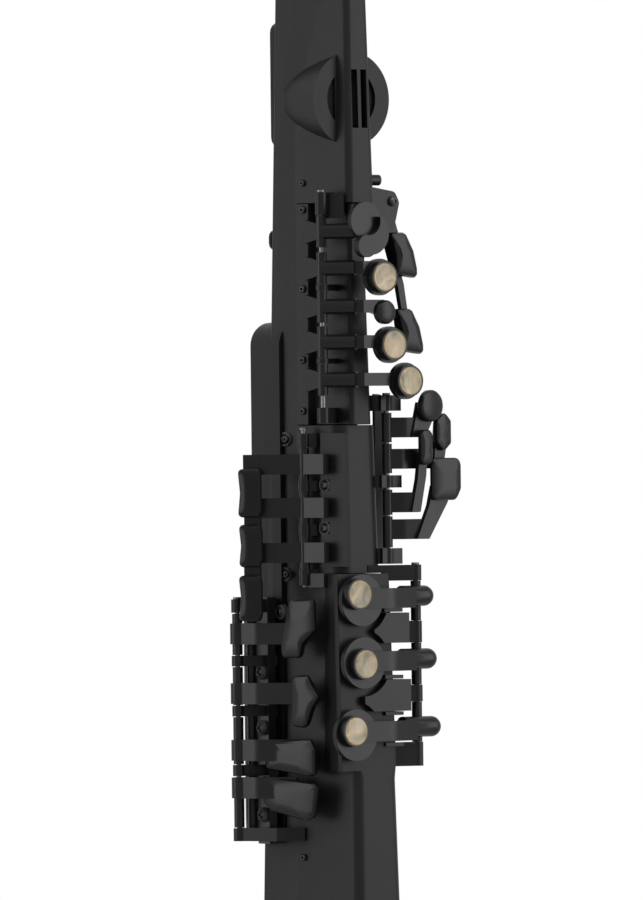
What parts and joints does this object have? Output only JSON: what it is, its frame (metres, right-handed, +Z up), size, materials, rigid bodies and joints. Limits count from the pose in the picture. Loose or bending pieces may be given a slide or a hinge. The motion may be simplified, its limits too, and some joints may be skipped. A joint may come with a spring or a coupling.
{
  "type": "digital wind controller",
  "caption": "Upright electronic wind controller with a tapered black body, hinged saxophone-style keys, pearl finger touches, a bent neck with mouthpiece, and a flared bell.",
  "frame": {"origin": "centre of the bell rim", "axes": "+Z up the body from bell to neck, -Y the front that the finger pearls face, +Y towards the player and the mouthpiece, +X the side of the lower stack's hinge rod"},
  "size_m": [0.1236, 0.1878, 0.909],
  "materials": {
    "housing_black": "satin black moulded plastic",
    "post_black": "satin black",
    "key_black": "satin black moulded plastic",
    "pearl": "mother-of-pearl effect, polished",
    "rod_steel": "blackened steel",
    "screw_black": "black oxide",
    "cork": "cork",
    "mouthpiece_black": "polished black",
    "reed_cane": "cane",
    "ligature_brass": "lacquered brass",
    "window": "dark display window",
    "button_grey": "grey rubber",
    "battery_wrap": "wrapped cells",
    "hook_black": "black",
    "ring_brass": "brass",
    "socket_metal": "plated sockets",
    "speaker_black": "paper cone and frame",
    "board_green": "circuit board",
    "rubber_black": "soft rubber"
  },
  "bodies": {
    "housing": {"upper_front": "housing_black", "key_bed": "housing_black", "middle_front": "housing_black", "lower_front": "housing_black", "rear_shell": "housing_black", "side_cover": "housing_black", "bell_collar": "housing_black", "bell": "housing_black", "neck": "housing_black", "neck_cork": "cork", "mouthpiece": "mouthpiece_black", "reed": "reed_cane", "ligature": "ligature_brass", "screws": "screw_black", "hinge_rods": "rod_steel", "upper_posts": "post_black", "middle_posts": "post_black", "lower_posts": "post_black", "rear_console": "housing_black", "display_window": "window", "thumb_rest": "rubber_black", "battery_housing": "housing_black", "battery_pack": "battery_wrap", "thumb_hook": "hook_black", "strap_ring": "ring_brass", "sockets": "socket_metal", "speaker_unit": "speaker_black", "main_board": "board_green"},
    "front_f_key": {"front_f_key": "key_black"},
    "bis_key": {"bis_key": "key_black"},
    "b_key": {"b_key": "key_black", "b_pearl": "pearl"},
    "a_key": {"a_key": "key_black", "a_pearl": "pearl"},
    "g_key": {"g_key": "key_black", "g_pearl": "pearl"},
    "f_key": {"f_key": "key_black", "f_pearl": "pearl"},
    "e_key": {"e_key": "key_black", "e_pearl": "pearl"},
    "d_key": {"d_key": "key_black", "d_pearl": "pearl"},
    "table_1": {"table_1": "key_black"},
    "table_2": {"table_2": "key_black"},
    "table_3": {"table_3": "key_black"},
    "table_4": {"table_4": "key_black"},
    "side_1": {"side_1": "key_black"},
    "side_2": {"side_2": "key_black"},
    "side_3": {"side_3": "key_black"},
    "pinky_1": {"pinky_1": "key_black"},
    "pinky_2": {"pinky_2": "key_black"},
    "pinky_3": {"pinky_3": "key_black"},
    "pinky_4": {"pinky_4": "key_black"},
    "octave_key": {"octave_key": "key_black"},
    "palm_1": {"palm_1": "key_black"},
    "palm_2": {"palm_2": "key_black"},
    "menu_down": {"menu_down": "button_grey"},
    "menu_up": {"menu_up": "button_grey"},
    "battery_door": {"battery_door": "housing_black"}
  },
  "joints": [
    {"name": "front_f_key_press", "type": "hinge", "parent": "housing", "child": "front_f_key", "pos_m": [-0.0238, -0.0193, 0.6106], "axis": [0, 0, 1], "range_deg": [0, 5], "stiffness_Nm_per_rad": 0.12, "springref_deg": -5.73},
    {"name": "bis_key_press", "type": "hinge", "parent": "housing", "child": "bis_key", "pos_m": [-0.0238, -0.0193, 0.5656], "axis": [0, 0, 1], "range_deg": [0, 5], "stiffness_Nm_per_rad": 0.12, "springref_deg": -5.73},
    {"name": "b_key_press", "type": "hinge", "parent": "housing", "child": "b_key", "pos_m": [-0.0238, -0.0193, 0.5887], "axis": [0, 0, 1], "range_deg": [0, 5], "stiffness_Nm_per_rad": 0.12, "springref_deg": -5.73},
    {"name": "a_key_press", "type": "hinge", "parent": "housing", "child": "a_key", "pos_m": [-0.0238, -0.0193, 0.5444], "axis": [0, 0, 1], "range_deg": [0, 5], "stiffness_Nm_per_rad": 0.12, "springref_deg": -5.73},
    {"name": "g_key_press", "type": "hinge", "parent": "housing", "child": "g_key", "pos_m": [-0.0238, -0.0193, 0.5219], "axis": [0, 0, 1], "range_deg": [0, 5], "stiffness_Nm_per_rad": 0.12, "springref_deg": -5.73},
    {"name": "f_key_press", "type": "hinge", "parent": "housing", "child": "f_key", "pos_m": [0.036, -0.03, 0.392], "axis": [0, 0, 1], "range_deg": [-2, 0], "stiffness_Nm_per_rad": 0.12, "springref_deg": 5.73},
    {"name": "e_key_press", "type": "hinge", "parent": "housing", "child": "e_key", "pos_m": [0.036, -0.03, 0.3543], "axis": [0, 0, 1], "range_deg": [-2, 0], "stiffness_Nm_per_rad": 0.12, "springref_deg": 5.73},
    {"name": "d_key_press", "type": "hinge", "parent": "housing", "child": "d_key", "pos_m": [0.036, -0.03, 0.3136], "axis": [0, 0, 1], "range_deg": [-2, 0], "stiffness_Nm_per_rad": 0.12, "springref_deg": 5.73},
    {"name": "table_1_press", "type": "hinge", "parent": "housing", "child": "table_1", "pos_m": [0.02, -0.024, 0.493], "axis": [0, 0, 1], "range_deg": [0, 3], "stiffness_Nm_per_rad": 0.12, "springref_deg": -5.73},
    {"name": "table_2_press", "type": "hinge", "parent": "housing", "child": "table_2", "pos_m": [0.02, -0.024, 0.4742], "axis": [0, 0, 1], "range_deg": [0, 3], "stiffness_Nm_per_rad": 0.12, "springref_deg": -5.73},
    {"name": "table_3_press", "type": "hinge", "parent": "housing", "child": "table_3", "pos_m": [0.02, -0.024, 0.4481], "axis": [0, 0, 1], "range_deg": [0, 3], "stiffness_Nm_per_rad": 0.12, "springref_deg": -5.73},
    {"name": "table_4_press", "type": "hinge", "parent": "housing", "child": "table_4", "pos_m": [0.02, -0.024, 0.432], "axis": [0, 0, 1], "range_deg": [0, 3], "stiffness_Nm_per_rad": 0.12, "springref_deg": -5.73},
    {"name": "side_1_press", "type": "hinge", "parent": "housing", "child": "side_1", "pos_m": [-0.0265, -0.003, 0.4716], "axis": [0, 0, 1], "range_deg": [-4, 0], "stiffness_Nm_per_rad": 0.12, "springref_deg": 5.73},
    {"name": "side_2_press", "type": "hinge", "parent": "housing", "child": "side_2", "pos_m": [-0.0265, -0.003, 0.4455], "axis": [0, 0, 1], "range_deg": [-4, 0], "stiffness_Nm_per_rad": 0.12, "springref_deg": 5.73},
    {"name": "side_3_press", "type": "hinge", "parent": "housing", "child": "side_3", "pos_m": [-0.0265, -0.003, 0.4187], "axis": [0, 0, 1], "range_deg": [-4, 0], "stiffness_Nm_per_rad": 0.12, "springref_deg": 5.73},
    {"name": "pinky_1_press", "type": "hinge", "parent": "housing", "child": "pinky_1", "pos_m": [-0.05, 0.034, 0.3703], "axis": [0, 0, 1], "range_deg": [0, 3], "stiffness_Nm_per_rad": 0.12, "springref_deg": -5.73},
    {"name": "pinky_2_press", "type": "hinge", "parent": "housing", "child": "pinky_2", "pos_m": [-0.05, 0.034, 0.3345], "axis": [0, 0, 1], "range_deg": [0, 3], "stiffness_Nm_per_rad": 0.12, "springref_deg": -5.73},
    {"name": "pinky_3_press", "type": "hinge", "parent": "housing", "child": "pinky_3", "pos_m": [-0.05, 0.034, 0.3005], "axis": [0, 0, 1], "range_deg": [0, 3], "stiffness_Nm_per_rad": 0.12, "springref_deg": -5.73},
    {"name": "pinky_4_press", "type": "hinge", "parent": "housing", "child": "pinky_4", "pos_m": [-0.05, 0.034, 0.278], "axis": [0, 0, 1], "range_deg": [0, 3], "stiffness_Nm_per_rad": 0.12, "springref_deg": -5.73},
    {"name": "octave_key_press", "type": "hinge", "parent": "housing", "child": "octave_key", "pos_m": [0.009, 0.0336, 0.6065], "axis": [0, 0, 1], "range_deg": [0, 4], "stiffness_Nm_per_rad": 0.12, "springref_deg": -5.73},
    {"name": "palm_1_press", "type": "hinge", "parent": "housing", "child": "palm_1", "pos_m": [0.023, -0.022, 0.6285], "axis": [0, 1, 0], "range_deg": [0, 4], "stiffness_Nm_per_rad": 0.12, "springref_deg": -5.73},
    {"name": "palm_2_press", "type": "hinge", "parent": "housing", "child": "palm_2", "pos_m": [0.023, -0.0166, 0.6285], "axis": [0, 1, 0], "range_deg": [0, 4], "stiffness_Nm_per_rad": 0.12, "springref_deg": -5.73},
    {"name": "menu_down_press", "type": "slide", "parent": "housing", "child": "menu_down", "axis": [0, -1, 0], "range_m": [0, 0.0008], "stiffness_N_per_m": 300, "springref_m": -0.001},
    {"name": "menu_up_press", "type": "slide", "parent": "housing", "child": "menu_up", "axis": [0, -1, 0], "range_m": [0, 0.0008], "stiffness_N_per_m": 300, "springref_m": -0.001},
    {"name": "battery_door_slide", "type": "slide", "parent": "housing", "child": "battery_door", "axis": [0, 0, -1], "range_m": [0, 0.06]}
  ]
}
